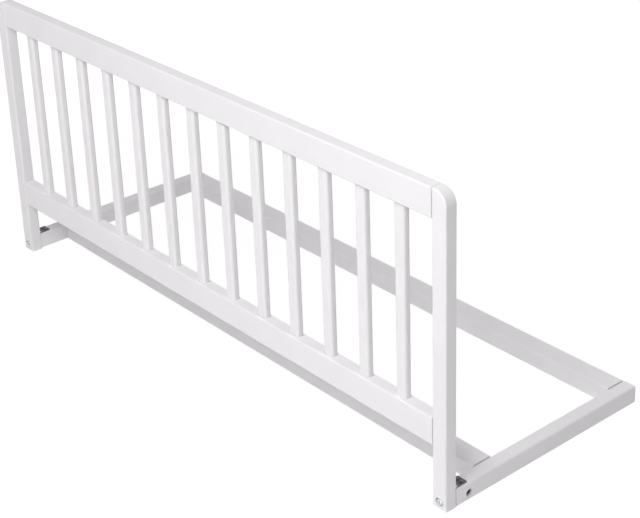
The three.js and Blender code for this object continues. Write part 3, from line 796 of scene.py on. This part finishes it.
for name in sides:
    for number in (1, 2):
        node = f"{name}_plate_screw_{number}"
        low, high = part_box(node)
        under = high.z - screw_head_height
        screw = spindle(f"{node}_rolled", (low + high) / 2, Z, under, high.z, (high.x - low.x) / 2)
        round_off(screw, pan_round, 5, lambda m, d: abs(d.z) < hardly and m.z > high.z - near)
        finish_screw(screw, low, high, Z, under + pan_lap, screw_radius)
        assemble(screw, node, "base_frame", plated_steel)
    low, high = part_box(f"{name}_post_screw")
    screw = spindle(f"{name}_post_screw_rolled", (low + high) / 2, Y, high.y, high.y - screw_head_height,
                    (high.x - low.x) / 2, screw_radius)
    finish_screw(screw, low, high, Y, high.y - sunk_start, screw_radius - hair)
    assemble(screw, f"{name}_post_screw", "guard_panel", zinc_plate)

# Floor
# A plain white sheet of studio paper. The camera, and metals that mirror it, see it at paper white
# with the object's shadow kept as a faint grey. Other light meets a plain matt floor.
floor_size = 12
floor_drop = 0.4 * mm


def seen_white(tree, plain, white):
    """Mixes in the white background for what the camera, or a mirror-like surface, sees directly"""
    path = add(tree, "ShaderNodeLightPath").outputs
    seen = add(tree, "ShaderNodeMath", {0: path["Is Camera Ray"], 1: path["Is Glossy Ray"]},
               operation="MAXIMUM")
    seen = add(tree, "ShaderNodeMath", {0: seen.outputs[0], 1: path["Is Transmission Ray"]},
               operation="MAXIMUM")
    return add(tree, "ShaderNodeMixShader", {0: seen.outputs[0], 1: plain, 2: white}).outputs[0]


bpy.ops.object.select_all(action="DESELECT")
bpy.ops.mesh.primitive_plane_add(size=floor_size, location=(0, 0, -floor_drop))
floor = bpy.context.active_object
floor.name = "studio_floor"
paper = bpy.data.materials.new("white_studio_paper")
paper.use_nodes = True
tree = paper.node_tree
tree.nodes.remove(tree.nodes["Principled BSDF"])
matt = add(tree, "ShaderNodeBsdfDiffuse", {"Color": linear("f2f2f2")}).outputs[0]
glow = add(tree, "ShaderNodeEmission", {"Strength": 1.12}).outputs[0]
# The shadow fades out over the half metre round the rail, where the paper burns out to plain white
place = add(tree, "ShaderNodeTexCoord").outputs["Object"]
fade_half_length = 0.75
fade_half_depth = 0.45
shrink = (1 / fade_half_length, 1 / fade_half_depth, 0)
footprint = add(tree, "ShaderNodeMapping", {"Vector": place, "Scale": shrink}).outputs[0]
distance = add(tree, "ShaderNodeVectorMath", {0: footprint}, operation="LENGTH").outputs["Value"]
share = add(tree, "ShaderNodeMapRange", {"Value": distance, "From Min": 0.8, "From Max": 1.7,
                                         "To Min": 0.2, "To Max": 0}).outputs["Result"]
shaded = add(tree, "ShaderNodeMixShader", {0: share, 1: glow, 2: matt}).outputs[0]
tree.links.new(seen_white(tree, matt, shaded), tree.nodes["Material Output"].inputs["Surface"])
floor.data.materials.append(paper)

# Studio light
# Weak white light from all round, a soft lamp high in front of the rail and a weak one low in front, a
# nearer one to its right, so that the light falls off to the left as it does in the studio, a small
# one over the right arm, and a low one behind for the backs of the pieces.
world = bpy.data.worlds.new("studio")
bpy.context.scene.world = world
world.use_nodes = True
tree = world.node_tree
around = add(tree, "ShaderNodeBackground", {"Color": (1, 1, 1, 1), "Strength": 0.24}).outputs[0]
white = add(tree, "ShaderNodeBackground", {"Color": (1, 1, 1, 1), "Strength": 1}).outputs[0]
tree.links.new(seen_white(tree, around, white), tree.nodes["World Output"].inputs["Surface"])


def lamp(name, place, target, size, power):
    """A square soft lamp that points at a target"""
    light = bpy.data.lights.new(name, "AREA")
    light.shape = "SQUARE"
    light.size = size
    light.energy = power
    holder = bpy.data.objects.new(name, light)
    holder.location = place
    holder.rotation_euler = (Vector(target) - Vector(place)).to_track_quat("-Z", "Y").to_euler()
    bpy.context.scene.collection.objects.link(holder)


lamp("high_front_softbox", (0.1, -1.9, 2.5), (0, -0.1, 0.1), 1, 19)
lamp("low_front_softbox", (0.6, -2, 0.9), (0.1, 0, 0.2), 1, 4.5)
lamp("near_right_softbox", (1, -1.35, 1.8), (0.1, -0.1, 0.15), 0.8, 18)
lamp("right_end_softbox", (1, -0.2, 1.7), (0.4, 0, 0.1), 0.8, 2.5)
lamp("low_back_softbox", (-0.3, 2.4, 0.9), (0, 0, 0.15), 1.2, 12)

bpy.context.scene.view_settings.view_transform = "Standard"
